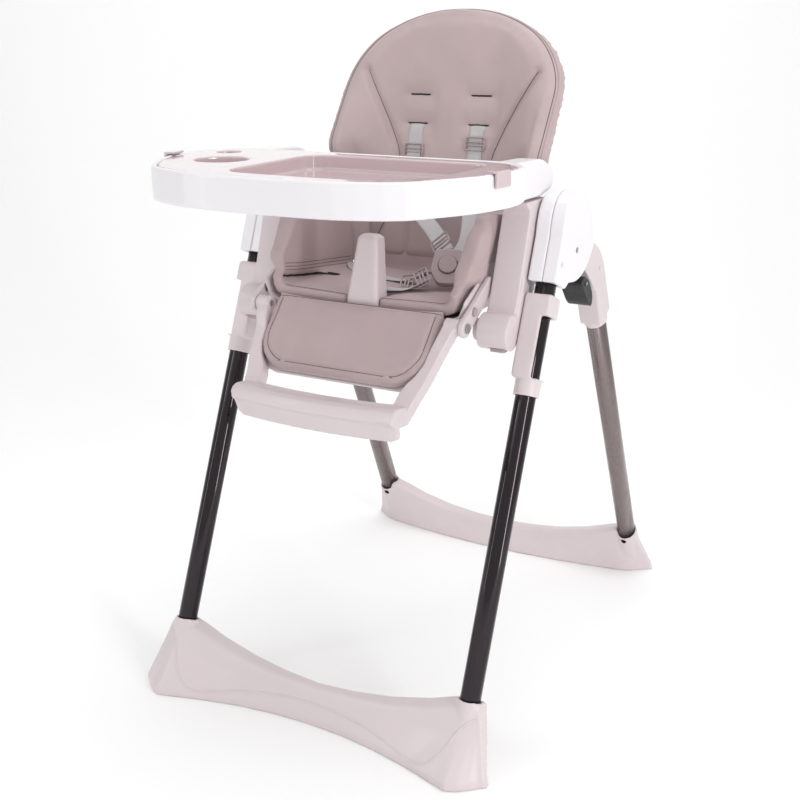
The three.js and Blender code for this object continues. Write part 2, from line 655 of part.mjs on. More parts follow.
function trayInsert() {
  const top = TRAY_TOP - 1;
  const floor = TRAY_TOP - RIM_H + 8;
  const dish = prism('Z', trayPlan(8.8, TRAY_BACK_Y - 8.8), floor + GAP, top, 0, 3);
  const food = prism('Z', outline([
    [-78, -446, 40], [112, -448, 40], [196, -396, 50], [206, -226, 34], [-78, -226, 34]]),
    top - 20, top + 10, 0, 4);
  const cups = [[-156, -336, 38], [-206, -252, 18]].map(([x, y, r]) =>
    prism('Z', circle(x, y, r), top - 26, top + 10, 0, 8));
  return trayTilt(cut(dish, food, ...cups));
}

// Clip of the insert, hooked over the rim of the tray.
function trayClip(s) {
  const hook = outline([[-12, 0.8], [0.8, 0.8], [0.8, -17], [4.6, -17, 1.5], [4.6, 4, 2], [-12, 4, 1]]);
  const clip = prism('Y', hook, -15, 15);
  clip.rotateZ(-0.2);
  clip.translate(256.6, -320, TRAY_TOP);
  if (s < 0) return facingOut(mergeVertices(trayTilt(mirrored(clip))));
  return trayTilt(clip);
}

function mirrored(geometry) {
  const copy = geometry.clone().scale(-1, 1, 1);
  copy.deleteAttribute('normal');
  copy.deleteAttribute('uv');
  return copy.index ? copy : mergeVertices(copy);
}

function trayLever(s) {
  const paddle = outline([
    [-212, 768, 2], [-168, 770.6, 2], [-166, 764, 3], [-206, 757, 4], [-216, 760, 3]]);
  return prism('X', paddle, s * 194, s * 217, 0, 2);
}

// ---------------------------------------------------------------- harness
const WEB = 25;
const WEB_T = 2.2;
const LAP_WEB = 18;              // narrower webbing at the waist

// Flat webbing along a path; `across` is its width direction at every point.
function ribbon(path, across, width = WEB, thick = WEB_T) {
  const side = new THREE.Vector3(...across).normalize().multiplyScalar(width / 2);
  return loft(path.map((p, i) => {
    const here = new THREE.Vector3(...p);
    const along = new THREE.Vector3(...path[Math.min(i + 1, path.length - 1)])
      .sub(new THREE.Vector3(...path[Math.max(i - 1, 0)]));
    const up = side.clone().cross(along).normalize().multiplyScalar(thick / 2);
    return [[-1, -1], [1, -1], [1, 1], [-1, 1]].map(([a, b]) =>
      here.clone().addScaledVector(side, a).addScaledVector(up, b).toArray());
  }));
}

const padFront = (z, off = 3) => 62 + BACK_SLOPE * (z - 856) - off;
const shoulderStrap = (s) => ribbon(
  [858, 800, 740, 690].map((z) => [s * 54, padFront(z), z]), [1, 0, 0]);
const lapStrap = (s) => ribbon(s > 0
  ? [[133, -10, 650], [124, -50, 646], [112, -84, 648]]
  : [[-132, -20, 629], [-90, -70, 629], [-10, -108, 629], [34, -112, 633]],
s > 0 ? [0.35, 0.1, 1] : [0.5, 1, 0], LAP_WEB);
const crotchStrap = () => ribbon([[0, -166, 627.5], [34, -168, 628], [58, -162, 631]], [0.2, 1, 0]);

const BUCKLE = [92, -122, 662];
function buckleTurn(geometry) {
  geometry.rotateX(0.95);
  geometry.rotateZ(0.35);
  return geometry.translate(...BUCKLE);
}
const buckleBody = () => buckleTurn(cut(
  prism('Z', outline([
    [-26, -10, 8], [-14, -30, 6], [14, -30, 6], [26, -10, 8], [20, 26, 8], [-20, 26, 8]]), -7, 7, 0, 3),
  prism('Z', circle(0, 0, 14.6), 3, 12, 0, 10)));
const buckleButton = () => buckleTurn(prism('Z', circle(0, 0, 14), 5.5, 10, 0, 10));

// ---------------------------------------------------------------- assembly
const group = new THREE.Group();

function add(name, geometry, finish) {
  const mesh = new THREE.Mesh(geometry, LOOKS[finish]());
  geometry.translate(0, MIDDLE_Y, 0);
  mesh.name = name;
  group.add(mesh);
}

add('front_foot', frontFoot(), 'blush');
add('rear_foot', rearFoot(), 'blush');
add('seat_cross_tube', rod([-188, ...DRUM], [188, ...DRUM], CROSS_R), 'chrome');
add('seat_shell', seatShell(), 'blush');
add('seat_pad', seatPad(), 'leather');
add('crotch_post', crotchPost(), 'blush');
add('backrest_shell', backShell(), 'blush');
add('backrest_pad', sheet(backSurface, 14, 12, -28, 28), 'leather');
add('recline_lever', reclineLever(), 'blush');
add('legrest_frame', legFrame(), 'blush');
add('legrest_pad', legPlan(-11.4, 5, 136), 'leather');
add('tray_base', trayBase(), 'white');
add('tray_insert', trayInsert(), 'gloss');
add('crotch_strap', crotchStrap(), 'web');
add('buckle_body', buckleBody(), 'mauve');
add('buckle_button', buckleButton(), 'mauve');

for (const [side, s] of [['left', -1], ['right', 1]]) {
  add(`front_tube_${side}`, pipe(frontAt(s, TUBE_FOOT_Z), frontAt(s, 700), FRONT_R, WALL), 'chrome');
  add(`rear_tube_${side}`, pipe(rearAt(s, TUBE_FOOT_Z), rearAt(s, REAR_TOP_Z), REAR_HALF, WALL), 'steel');
  add(`front_foot_screw_${side}`, footScrew(s * 249, -340.6, 66, 1, 0.4), 'screw');
  add(`rear_foot_screw_${side}`, footScrew(s * 260, 349.5, 72, -1, 6), 'screw');
  add(`hub_outer_cover_${side}`, hubCover(s, false), 'white');
  add(`hub_inner_cover_${side}`, hubCover(s, true), 'white');
  add(`fold_pin_${side}`, rod([s * 231.5, ...PIVOT], [s * 267.5, ...PIVOT], 6), 'screw');
  add(`hub_screw_${side}`, hubScrew(s, -64, 694), 'screw');
  add(`rear_casting_${side}`, casting(s), 'blush');
  add(`fold_trigger_${side}`, trigger(s), 'black');
  add(`fold_lock_pin_${side}`, lockPin(s), 'screw');
  add(`slider_${side}`, slider(s), 'blush');
  add(`armrest_${side}`, armrest(s), 'blush');
  add(`height_button_${side}`, heightButton(s), 'mauve');
  add(`side_bracket_${side}`, sideBracket(s), 'blush');
  add(`legrest_button_${side}`, legButton(s), 'mauve');
  add(`legrest_bolt_${side}`, legBolt(s), 'screw');
  add(`recline_pin_${side}`, reclinePin(s), 'screw');
  add(`tray_clip_${side}`, trayClip(s), 'gloss');
  add(`tray_lever_${side}`, trayLever(s), 'mauve');
  add(`shoulder_strap_${side}`, shoulderStrap(s), 'web');
  add(`lap_strap_${side}`, lapStrap(s), 'web');
}

export default group;
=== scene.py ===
"""Looks of a folding baby high chair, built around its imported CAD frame.

Row frame in metres: +Z up, -Y front, +X right as seen from the front. Sizes below are in
millimetres and become metres in `at` and MM.
"""

import json
import math

import bmesh
import bpy
from mathutils import Matrix, Vector
from mathutils.bvhtree import BVHTree
from mathutils.kdtree import KDTree

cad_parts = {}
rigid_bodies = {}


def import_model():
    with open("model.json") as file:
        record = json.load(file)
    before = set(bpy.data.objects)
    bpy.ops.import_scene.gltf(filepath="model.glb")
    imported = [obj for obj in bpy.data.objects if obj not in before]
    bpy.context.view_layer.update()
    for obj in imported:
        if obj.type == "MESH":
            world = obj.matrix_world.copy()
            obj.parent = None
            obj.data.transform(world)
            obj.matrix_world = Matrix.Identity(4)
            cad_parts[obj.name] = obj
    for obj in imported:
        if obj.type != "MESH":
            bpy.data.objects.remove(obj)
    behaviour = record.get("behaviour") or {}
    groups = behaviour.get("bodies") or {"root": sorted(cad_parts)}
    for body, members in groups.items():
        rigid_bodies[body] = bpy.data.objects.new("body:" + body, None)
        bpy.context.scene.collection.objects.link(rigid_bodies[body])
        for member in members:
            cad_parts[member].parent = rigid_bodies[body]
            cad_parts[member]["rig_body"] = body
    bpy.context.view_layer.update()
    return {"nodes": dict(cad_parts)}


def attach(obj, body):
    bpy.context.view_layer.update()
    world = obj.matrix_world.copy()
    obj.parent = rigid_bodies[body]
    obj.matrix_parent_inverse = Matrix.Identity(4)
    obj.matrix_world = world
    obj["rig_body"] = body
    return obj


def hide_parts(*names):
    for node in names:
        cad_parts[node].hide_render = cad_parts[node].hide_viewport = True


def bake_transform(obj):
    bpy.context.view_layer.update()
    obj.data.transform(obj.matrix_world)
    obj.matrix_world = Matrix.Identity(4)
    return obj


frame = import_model()

SCENE = bpy.context.scene
NODES = frame["nodes"]
MM = 0.001
MIDDLE_Y = 26  # the drawing's zero, the middle of the leg ends, lies this far back
SIDES = (("left", -1), ("right", 1))


def at(x, y, z):
    """A point of the drawing, in millimetres, as metres in the row frame."""
    return Vector((x, y + MIDDLE_Y, z)) * MM


def on_side(node):
    return f"{node}_left", f"{node}_right"


# ---------------------------------------------------------------- materials
def shader(name, color, rough, metallic=0.0):
    """A new Principled material; returns it with its node tree and shader."""
    made = bpy.data.materials.new(name)
    made.use_nodes = True
    tree = made.node_tree
    bsdf = tree.nodes["Principled BSDF"]
    bsdf.inputs["Base Color"].default_value = (*color, 1)
    bsdf.inputs["Roughness"].default_value = rough
    bsdf.inputs["Metallic"].default_value = metallic
    return made, tree, bsdf


def noise(tree, scale, detail=3.0, stretch=(1, 1, 1)):
    """Noise over the object's own coordinates, in features per metre."""
    coords = tree.nodes.new("ShaderNodeTexCoord")
    mapping = tree.nodes.new("ShaderNodeMapping")
    mapping.inputs["Scale"].default_value = stretch
    tree.links.new(coords.outputs["Object"], mapping.inputs["Vector"])
    texture = tree.nodes.new("ShaderNodeTexNoise")
    texture.inputs["Scale"].default_value = scale
    texture.inputs["Detail"].default_value = detail
    tree.links.new(mapping.outputs["Vector"], texture.inputs["Vector"])
    return texture.outputs["Fac"]


def remap(tree, value, low, high, start=0.3, end=0.7):
    node = tree.nodes.new("ShaderNodeMapRange")
    node.inputs["From Min"].default_value = start
    node.inputs["From Max"].default_value = end
    node.inputs["To Min"].default_value = low
    node.inputs["To Max"].default_value = high
    tree.links.new(value, node.inputs["Value"])
    return node.outputs["Result"]


def tint(tree, factor, a, b):
    """Colour between a and b by factor."""
    mix = tree.nodes.new("ShaderNodeMix")
    mix.data_type = "RGBA"
    tree.links.new(factor, mix.inputs["Factor"])
    mix.inputs["A"].default_value = (*a, 1)
    mix.inputs["B"].default_value = (*b, 1)
    return mix.outputs["Result"]


def bump(tree, bsdf, height, distance, strength=1.0, below=None):
    node = tree.nodes.new("ShaderNodeBump")
    node.inputs["Distance"].default_value = distance
    node.inputs["Strength"].default_value = strength
    tree.links.new(height, node.inputs["Height"])
    if below is not None:
        tree.links.new(below, node.inputs["Normal"])
    tree.links.new(node.outputs["Normal"], bsdf.inputs["Normal"])
    return node.outputs["Normal"]


def shade(color, factor):
    return tuple(c * factor for c in color)


def moulded_plastic(name, color, rough, grain, coat=0.0, edge_lift=0.25):
    """Injection-moulded plastic: faint colour drift, satin grain, and colour a little lighter along
    sharply convex edges.
    """
    made, tree, bsdf = shader(name, color, rough)
    drift = noise(tree, 7, 2)
    base = tint(tree, remap(tree, drift, 0, 1), shade(color, 0.965), color)
    edge = tree.nodes.new("ShaderNodeNewGeometry").outputs["Pointiness"]
    edge_lightened = tree.nodes.new("ShaderNodeMix")
    edge_lightened.data_type = "RGBA"
    tree.links.new(remap(tree, edge, 0, edge_lift, 0.56, 0.7), edge_lightened.inputs["Factor"])
    tree.links.new(base, edge_lightened.inputs["A"])
    edge_lightened.inputs["B"].default_value = (*[min(1, c * 1.07) for c in color], 1)
    tree.links.new(edge_lightened.outputs["Result"], bsdf.inputs["Base Color"])
    satin = remap(tree, noise(tree, 60, 3), rough * 0.88, rough * 1.12)
    tree.links.new(satin, bsdf.inputs["Roughness"])
    bump(tree, bsdf, noise(tree, 1400, 2), grain)
    bsdf.inputs["Coat Weight"].default_value = coat
    bsdf.inputs["Coat Roughness"].default_value = 0.08
    bsdf.inputs["Specular IOR Level"].default_value = 0.5
    return made


def polished_metal(name, color, rough, streak):
    """Drawn tube: fine lengthwise streaks under a polish, with faint handling marks."""
    made, tree, bsdf = shader(name, color, rough, 1.0)
    lines = noise(tree, 420, 2, (1, 1, 0.02))
    marks = noise(tree, 26, 4)
    tree.links.new(remap(tree, marks, rough * 0.8, rough * 1.5), bsdf.inputs["Roughness"])
    tree.links.new(
        tint(tree, remap(tree, lines, 0, 1), shade(color, 1 - streak), color),
        bsdf.inputs["Base Color"],
    )
    bump(tree, bsdf, lines, 0.00002, 0.5)
    return made


def leatherette(name, color):
    """Coated fabric: pebble grain, soft sheen and slow colour drift."""
    made, tree, bsdf = shader(name, color, 0.52)
    drift = remap(tree, noise(tree, 14, 3), 0, 1)
    tree.links.new(tint(tree, drift, shade(color, 0.94), shade(color, 1.03)), bsdf.inputs["Base Color"])
    cells = tree.nodes.new("ShaderNodeTexVoronoi")
    cells.feature = "DISTANCE_TO_EDGE"
    cells.inputs["Scale"].default_value = 750
    coords = tree.nodes.new("ShaderNodeTexCoord")
    tree.links.new(coords.outputs["Object"], cells.inputs["Vector"])
    grain = bump(tree, bsdf, remap(tree, cells.outputs["Distance"], 0, 1, 0, 0.25), 0.00012, 0.55)
    bump(tree, bsdf, noise(tree, 120, 3), 0.0005, 0.25, grain)
    tree.links.new(remap(tree, noise(tree, 45, 3), 0.46, 0.6), bsdf.inputs["Roughness"])
    bsdf.inputs["Sheen Weight"].default_value = 0.12
    bsdf.inputs["Sheen Roughness"].default_value = 0.4
    return made


def woven(name, color):
    """Webbing: herringbone ribs across and threads along, from the strap's own UVs."""
    made, tree, bsdf = shader(name, color, 0.85)
    uv = tree.nodes.new("ShaderNodeUVMap")
    height = None
    for direction, scale in (("X", 1.0), ("Y", 1.0)):
        wave = tree.nodes.new("ShaderNodeTexWave")
        wave.bands_direction = direction
        wave.inputs["Scale"].default_value = scale
        wave.inputs["Distortion"].default_value = 0.4
        tree.links.new(uv.outputs["UV"], wave.inputs["Vector"])
        if height is None:
            height = wave.outputs["Fac"]
        else:
            product = tree.nodes.new("ShaderNodeMath")
            product.operation = "MULTIPLY"
            tree.links.new(height, product.inputs[0])
            tree.links.new(wave.outputs["Fac"], product.inputs[1])
            height = product.outputs["Value"]
    tree.links.new(
        tint(tree, remap(tree, height, 0, 1, 0, 1), shade(color, 0.8), color), bsdf.inputs["Base Color"]
    )
    bump(tree, bsdf, height, 0.0004, 0.8)
    bsdf.inputs["Sheen Weight"].default_value = 0.3
    return made


BLUSH = (0.665, 0.585, 0.60)
WHITE = (0.835, 0.815, 0.84)
GLOSS = (0.62, 0.49, 0.51)
LEATHER = (0.475, 0.37, 0.375)
MATERIALS = {
    "blush": moulded_plastic("satin_blush_plastic", BLUSH, 0.38, 0.00003, 0.1, 0.1),
    "white": moulded_plastic("glossy_white_plastic", WHITE, 0.32, 0.00002, 0.1, 0.05),
    "gloss": moulded_plastic("glossy_rose_plastic", GLOSS, 0.12, 0.00001, 0.9, 0.0),
    "chrome": polished_metal("dark_chrome", (0.05, 0.043, 0.047), 0.05, 0.12),
    "steel": polished_metal("lacquered_steel", (0.25, 0.21, 0.205), 0.2, 0.14),
    "leather": leatherette("mauve_leatherette", LEATHER),
    "web": woven("grey_webbing", (0.76, 0.735, 0.745)),
    "mauve": moulded_plastic("mauve_plastic", (0.42, 0.335, 0.345), 0.38, 0.00003),
    # Real black plastic for the fold triggers; also painted shade for the slot and wing-gap cords.
    "black": moulded_plastic("black_plastic_and_gap_shade", (0.004, 0.004, 0.005), 0.5, 0.00002, 0.0, 0.0),
    "screw": polished_metal("zinc_plate", (0.45, 0.45, 0.46), 0.3, 0.1),
    # Dark cords of this colour are painted shade in the seam grooves and along the rim; the leg rest's
    # stitch threads use it too.
    "seam": leatherette("seam_thread_and_groove_shade", shade(LEATHER, 0.3)),
}


# ---------------------------------------------------------------- pieces
def piece(name, mesh, body, material, stands_for=(), smooth=True):
    """Put a mesh in the scene as a named piece that rides on a CAD body, or, where `body` is (body,
    body, start, end), leaves it unattached with its place baked into the mesh; the bodies and points of
    that tuple are not used."""
    obj = bpy.data.objects.new(name, mesh)
    SCENE.collection.objects.link(obj)
    mesh.materials.clear()
    mesh.materials.append(MATERIALS[material])
    if smooth:
        mesh.shade_smooth()
    if isinstance(body, str):
        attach(obj, body)
    else:
        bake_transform(obj)
    if stands_for:
        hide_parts(*stands_for)
    return obj


def bridged(bm, loops):
    """Closes a row of closed vertex loops into one solid, with a face on each end."""
    for a, b in zip(loops, loops[1:]):
        for k in range(len(a)):
            n = (k + 1) % len(a)
            bm.faces.new((a[k], a[n], b[n], b[k]))
    bm.faces.new(list(reversed(loops[0])))
    bm.faces.new(loops[-1])


def meshed(bm, name):
    """The bmesh as a mesh with its normals facing out; the bmesh is freed."""
    bmesh.ops.recalc_face_normals(bm, faces=bm.faces)
    mesh = bpy.data.meshes.new(name)
    bm.to_mesh(mesh)
    bm.free()
    return mesh


def final_mesh(obj, name):
    """The object's mesh with its modifiers applied; the object itself is removed."""
    graph = bpy.context.evaluated_depsgraph_get()
    mesh = bpy.data.meshes.new_from_object(obj.evaluated_get(graph))
    mesh.name = name
    bpy.data.objects.remove(obj)
    return mesh


def welded(mesh):
    """A copy of a mesh with its doubled vertices merged."""
    bm = bmesh.new()
    bm.from_mesh(mesh)
    bmesh.ops.remove_doubles(bm, verts=bm.verts, dist=1e-5)
    copy = bpy.data.meshes.new(mesh.name + "_welded")
    bm.to_mesh(copy)
    bm.free()
    return copy


def softened(mesh, voxel, rounds, name):
    """The mesh remeshed into even faces, with its edges rounded as a mould leaves them."""
    obj = bpy.data.objects.new(name, mesh)
    SCENE.collection.objects.link(obj)
    remesh = obj.modifiers.new("remesh", "REMESH")
    remesh.mode = "VOXEL"
    remesh.voxel_size = voxel * MM
    relax = obj.modifiers.new("relax", "SMOOTH")
    relax.factor = 0.5
    relax.iterations = rounds
    return final_mesh(obj, name)


def slimmed(mesh, by):
    """Draws the mesh in by `by` mm on every side of its box."""
    columns = [[v.co[k] for v in mesh.vertices] for k in range(3)]
    spans = [(min(column), max(column)) for column in columns]
    for v in mesh.vertices:
        for k, (low, high) in enumerate(spans):
            middle = (low + high) / 2
            v.co[k] = middle + (v.co[k] - middle) * (1 - 2 * by * MM / (high - low))


def bored(mesh, y, z, radius):
    """Opens the mesh to `radius` mm around the axis along X through (y, z)."""
    axis = at(0, y, z)
    for v in mesh.vertices:
        away = Vector((0, v.co.y - axis.y, v.co.z - axis.z))
        if 0 < away.length < radius * MM:
            v.co += away.normalized() * (radius * MM - away.length)


def moulding(node, material, voxel=1.6, rounds=5, slim=0.0):
    """A moulded part: the CAD solid with softly rounded edges."""
    mesh = softened(welded(NODES[node].data), voxel, rounds, node + "_moulding")
    if slim:
        slimmed(mesh, slim)
    return piece(node + "_moulding", mesh, NODES[node]["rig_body"], material, [node])


feet = {node: moulding(node, "blush", 2.4, 7) for node in ("front_foot", "rear_foot")}
moulding("seat_shell", "blush", 2.4, 4)
for node in ("crotch_post", "recline_lever"):
    moulding(node, "blush", 1.6, 6)
bored(moulding("legrest_frame", "blush", 1.5, 5).data, -238, 602, 5.0)
for node in ("rear_casting", "slider", "armrest", "side_bracket"):
    for one in on_side(node):
        moulding(one, "blush", 1.4, 5)
for node in ("hub_outer_cover", "hub_inner_cover"):
    for one in on_side(node):
        moulding(one, "white", 1.2, 5)
moulding("tray_base", "white", 2.0, 9)
moulding("tray_insert", "gloss", 1.8, 4)
for node, material, voxel, slim in (
    ("tray_clip", "gloss", 0.8, 0),
    ("fold_trigger", "black", 1.2, 0),
    ("height_button", "mauve", 1.0, 0.9),
    ("tray_lever", "mauve", 1.0, 0),
):
    for one in on_side(node):
        moulding(one, material, voxel, 4, slim)
for node in ("buckle_body", "buckle_button"):
    moulding(node, "mauve", 0.9, 4)
for one in on_side("legrest_button"):
    moulding(one, "mauve", 0.7, 3)


def dress(node, material):
    """A CAD node shown as it is, with its material."""
    obj = NODES[node]
    obj.data.materials.clear()
    obj.data.materials.append(MATERIALS[material])


for node in ("front_foot_screw", "rear_foot_screw", "hub_screw", "fold_pin", "fold_lock_pin",
             "legrest_bolt", "recline_pin"):
    for one in on_side(node):
        dress(one, "screw")


# ---------------------------------------------------------------- tubes
def drawn_tube(node, low, high, half, wall, material, sides=72):
    """A hollow oval tube between two points, its rims rolled, with lengthwise faces."""
    axis = (high - low).normalized()
    across = Vector((1, 0, 0))
    across = (across - axis * across.dot(axis)).normalized()
    deep = axis.cross(across)
    bm = bmesh.new()
    rings = []
    roll = 0.8 * MM
    length = (high - low).length
    profile = [(0, -wall), (0, -roll), (roll, 0), (length * 0.5, 0), (length - roll, 0),
               (length, -roll), (length, -wall), (length * 0.5, -wall)]
    for along, inset in profile:
        ring = []
        for i in range(sides):
            turn = 2 * math.pi * i / sides
            out = across * math.cos(turn) * (half[0] + inset)
            out += deep * math.sin(turn) * (half[1] + inset)
            ring.append(bm.verts.new(low + axis * along + out))
        rings.append(ring)
    for a, b in zip(rings, rings[1:] + rings[:1]):
        for i in range(sides):
            j = (i + 1) % sides
            bm.faces.new((a[i], a[j], b[j], b[i]))
    mesh = meshed(bm, node + "_drawn")
    return piece(node + "_drawn", mesh, NODES[node]["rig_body"], material, [node])


def front_at(side, z):
    return at(side * 249, -349 + 0.403 * (z - 98), z)


def rear_at(side, z):
    return at(side * (260 - 0.0238 * (z - 90)), 349 - 0.514 * (z - 90), z)


for name, side in SIDES:
    drawn_tube(f"front_tube_{name}", front_at(side, 30), front_at(side, 700),
               (0.015, 0.015), 0.0016, "chrome")
    drawn_tube(f"rear_tube_{name}", rear_at(side, 30), rear_at(side, 606),
               (0.0155, 0.020), 0.0016, "steel")
drawn_tube("seat_cross_tube", at(-188, -190, 591), at(188, -190, 591), (0.009, 0.009), 0.002, "chrome")


# ---------------------------------------------------------------- padded fabric
def ease(x, low, high):
    t = min(1.0, max(0.0, (x - low) / (high - low)))
    return t * t * (3 - 2 * t)


def reshaped(mesh, change):
    """The mesh with each vertex moved by `change`, which works in millimetres of the drawing."""
    for v in mesh.vertices:
        x, y, z = v.co / MM
        v.co = at(*change(x, y - MIDDLE_Y, z))
    return mesh


def even_skin(mesh, voxel, name, inset=0.0, relax=0):
    """The solid as an even skin, drawn in by `inset` millimetres and relaxed `relax` times."""
    obj = bpy.data.objects.new(name, mesh)
    SCENE.collection.objects.link(obj)
    remesh = obj.modifiers.new("remesh", "REMESH")
    remesh.mode = "VOXEL"
    remesh.voxel_size = voxel * MM
    shrink = obj.modifiers.new("shrink", "DISPLACE")
    shrink.mid_level = 0
    shrink.strength = -inset * MM
    obj.modifiers.new("relax", "SMOOTH").iterations = relax
    return final_mesh(obj, name)


def blown_up(skin, name, cap, free=lambda co: 1.0):
    """The skin swollen by its filling, then subdivided once. No point moves further than
    `cap` mm times `free` of where it started."""
    start = [v.co.copy() for v in skin.vertices]
    obj = bpy.data.objects.new(name, skin)
    SCENE.collection.objects.link(obj)
    cloth = obj.modifiers.new("cloth", "CLOTH")
    cloth.point_cache.frame_start = 1
    cloth.point_cache.frame_end = 20
    fabric = cloth.settings
    fabric.quality = 4
    fabric.mass = 0.2
    fabric.bending_stiffness = 1.5
    fabric.use_pressure = True
    fabric.uniform_pressure_force = 4
    fabric.effector_weights.gravity = 0
    for step in range(1, 21):
        SCENE.frame_set(step)
    swollen = final_mesh(obj, name)
    SCENE.frame_set(1)
    for v, before in zip(swollen.vertices, start):
        move = v.co - before
        most = cap * MM * free(before)
        if move.length > most:
            v.co = before + move.normalized() * most
    finer = bpy.data.objects.new(name, swollen)
    SCENE.collection.objects.link(finer)
    finer.modifiers.new("relax", "SMOOTH").iterations = 3
    finer.modifiers.new("finer", "SUBSURF").levels = 1
    return final_mesh(finer, name)


def through(points, step=2.5):
    """A smooth line through points of the drawing, in short steps, in metres."""
    knots = [Vector(p) for p in points]
    knots = [2 * knots[0] - knots[1], *knots, 2 * knots[-1] - knots[-2]]
    line = []
    for a, b, c, d in zip(knots, knots[1:], knots[2:], knots[3:]):
        count = max(1, round((c - b).length / step))
        for i in range(count):
            t = i / count
            bend = (2 * a - 5 * b + 4 * c - d) * t**2 + (3 * b - a - 3 * c + d) * t**3
            line.append(0.5 * (2 * b + (c - a) * t + bend))
    line.append(knots[-2])
    return [at(*p) for p in line]


def skin_of(mesh):
    return BVHTree.FromPolygons([v.co for v in mesh.vertices], [p.vertices for p in mesh.polygons])


def laid(mesh, line, direction):
    """The line dropped on the mesh along `direction`, as (point, normal) pairs."""
    surface = skin_of(mesh)
    way = Vector(direction).normalized()
    found = []
    for p in line:
        hit, normal, _, _ = surface.ray_cast(p - way * 0.09, way, 0.3)
        if hit is not None:
            found.append((hit, normal))
    return found


def nearest(mesh, line):
    """The line moved to the nearest points of the mesh, as (point, normal) pairs."""
    surface = skin_of(mesh)
    return [surface.find_nearest(p)[:2] for p in line]


def pressed(mesh, seam, depth, width):
    """Presses the mesh in along a laid seam, `depth` and `width` in millimetres."""
    finder = KDTree(len(seam))
    for i, (p, _) in enumerate(seam):
        finder.insert(p, i)
    finder.balance()
    normals = [v.normal.copy() for v in mesh.vertices]
    for v, normal in zip(mesh.vertices, normals):
        far = finder.find(v.co)[2] / MM
        if far < 3 * width:
            v.co -= normal * depth * MM * math.exp(-((far / width) ** 2))
    mesh.update()


def swept(bm, line, radius, flat=1.0, sides=8):
    """A round or flattened cord along (point, normal) pairs, added to a bmesh."""
    rings = []
    for i, (p, normal) in enumerate(line):
        ahead = line[min(i + 1, len(line) - 1)][0] - line[max(i - 1, 0)][0]
        side = ahead.cross(normal).normalized()
        up = side.cross(ahead).normalized()
        end = 0.45 if i in (0, len(line) - 1) else 1.0
        rings.append([
            bm.verts.new(p + (side * math.cos(turn) + up * flat * math.sin(turn)) * radius * end)
            for turn in (2 * math.pi * k / sides for k in range(sides))
        ])
    bridged(bm, rings)


def cords(name, lines, body, material, radius, flat=1.0, lift=0.0):
    """Cords as one piece: piping, thread, raised lines, adjuster bars, and the dark cords of painted
    shade in grooves, slots and gaps; `radius` and `lift` in millimetres.
    """
    bm = bmesh.new()
    for line in lines:
        if len(line) > 1:
            swept(bm, [(p + n * lift * MM, n) for p, n in line], radius * MM, flat)
    return piece(name, meshed(bm, name), body, material)


def relaid(mesh, seams, direction, depth):
    """Laid seams dropped again on a mesh that was pressed since, `depth` mm below its surface."""
    again = [laid(mesh, [p for p, _ in seam], direction) for seam in seams]
    return [[(p - n * depth * MM, n) for p, n in seam] for seam in again]


def stitch_runs(line, pitch=2):
    """A laid line cut into short threads with gaps between them."""
    return [line[i : i + 2] for i in range(0, len(line) - 1, pitch)]


def mirror(points):
    return [(-x, y, z) for x, y, z in points]


# A fine raised line along the front foot.
BACKWARD = (0, 1, 0)
AHEAD_Y = -430
FOOT_LINE = [(278, 86), (258, 79), (245, 65), (235, 46), (223, 31), (209, 20), (190, 15), (156, 18),
             (109, 25), (56, 30)]
half_line = [(x, AHEAD_Y, z) for x, z in FOOT_LINE]
crest = half_line + [(0, AHEAD_Y, 32)] + mirror(half_line)[::-1]
foot_line = laid(feet["front_foot"].data, through(crest, 6), BACKWARD)
cords("front_foot_line", [foot_line], NODES["front_foot"]["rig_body"], "blush", 1.6, 0.6)

# Backrest: two side bolsters, piping round its rim and four harness slots, under a round dome.
BACK_HALF = 170
DOME_Z = 905
DOME_HEIGHT = 130.6
STRAIGHT = 0.6  # the part of its rise below the dome


def back_half(z):
    if z < DOME_Z:
        return 130 + 40 * ease(z, 660, 835)
    return BACK_HALF * math.cos(math.asin(min(1, (z - DOME_Z) / DOME_HEIGHT)))


def back_y(x, z):
    reach = max(0.0, abs(x) / max(back_half(z), 1) - 0.45) / 0.55
    fall = 80 - 55 * (z - 800) / 125 if z < 925 else 25 * (1036 - z) / 110
    return 62 + 0.2 * (z - 856) - ease(z, 735, 832) * fall * min(reach, 1.1) ** 1.8


def back_at(across, rise, depth):
    """A point of the backrest: -1 to 1 across it, 0 to 1 up it and over its dome, and `depth` mm
    behind its front surface. The rim leans and opens outwards towards the back."""
    turn = math.radians(88) * max(0.0, rise - STRAIGHT) / (1 - STRAIGHT)
    if rise < STRAIGHT:
        z = 634 + (DOME_Z - 634) * rise / STRAIGHT
        x = across * back_half(z)
    else:
        z = DOME_Z + DOME_HEIGHT * math.sin(turn)
        x = across * BACK_HALF * math.cos(turn)
    reach = max(0.0, abs(across) - 0.45) / 0.55
    lean = 1.1 * ease(z, 735, 832) * reach**0.8
    behind = Vector((math.copysign(lean, across), 1, -0.2)).normalized() * depth
    edge = ease(abs(across), 0.7, 1.0) * ease(z, 700, 800) * (1 - ease(z, 990, 1030))
    behind.x += math.copysign(0.32 * max(0.0, depth) * edge, across)
    return Vector((x, back_y(x, z), z)) + behind


BOLSTER = [(149, 0, 940), (134, 0, 914), (115, 0, 880), (97, 0, 844), (83, 0, 808), (80, 0, 768),
           (90, 0, 720), (110, 0, 676), (122, 0, 652)]


def rim_line(depth):
    """Up one side of the backrest's rim, over its dome and down the other."""
    right = [tuple(back_at(1, 0.03 + 0.97 * k / 36, depth)) for k in range(37)]
    return right + mirror(right)[::-1]


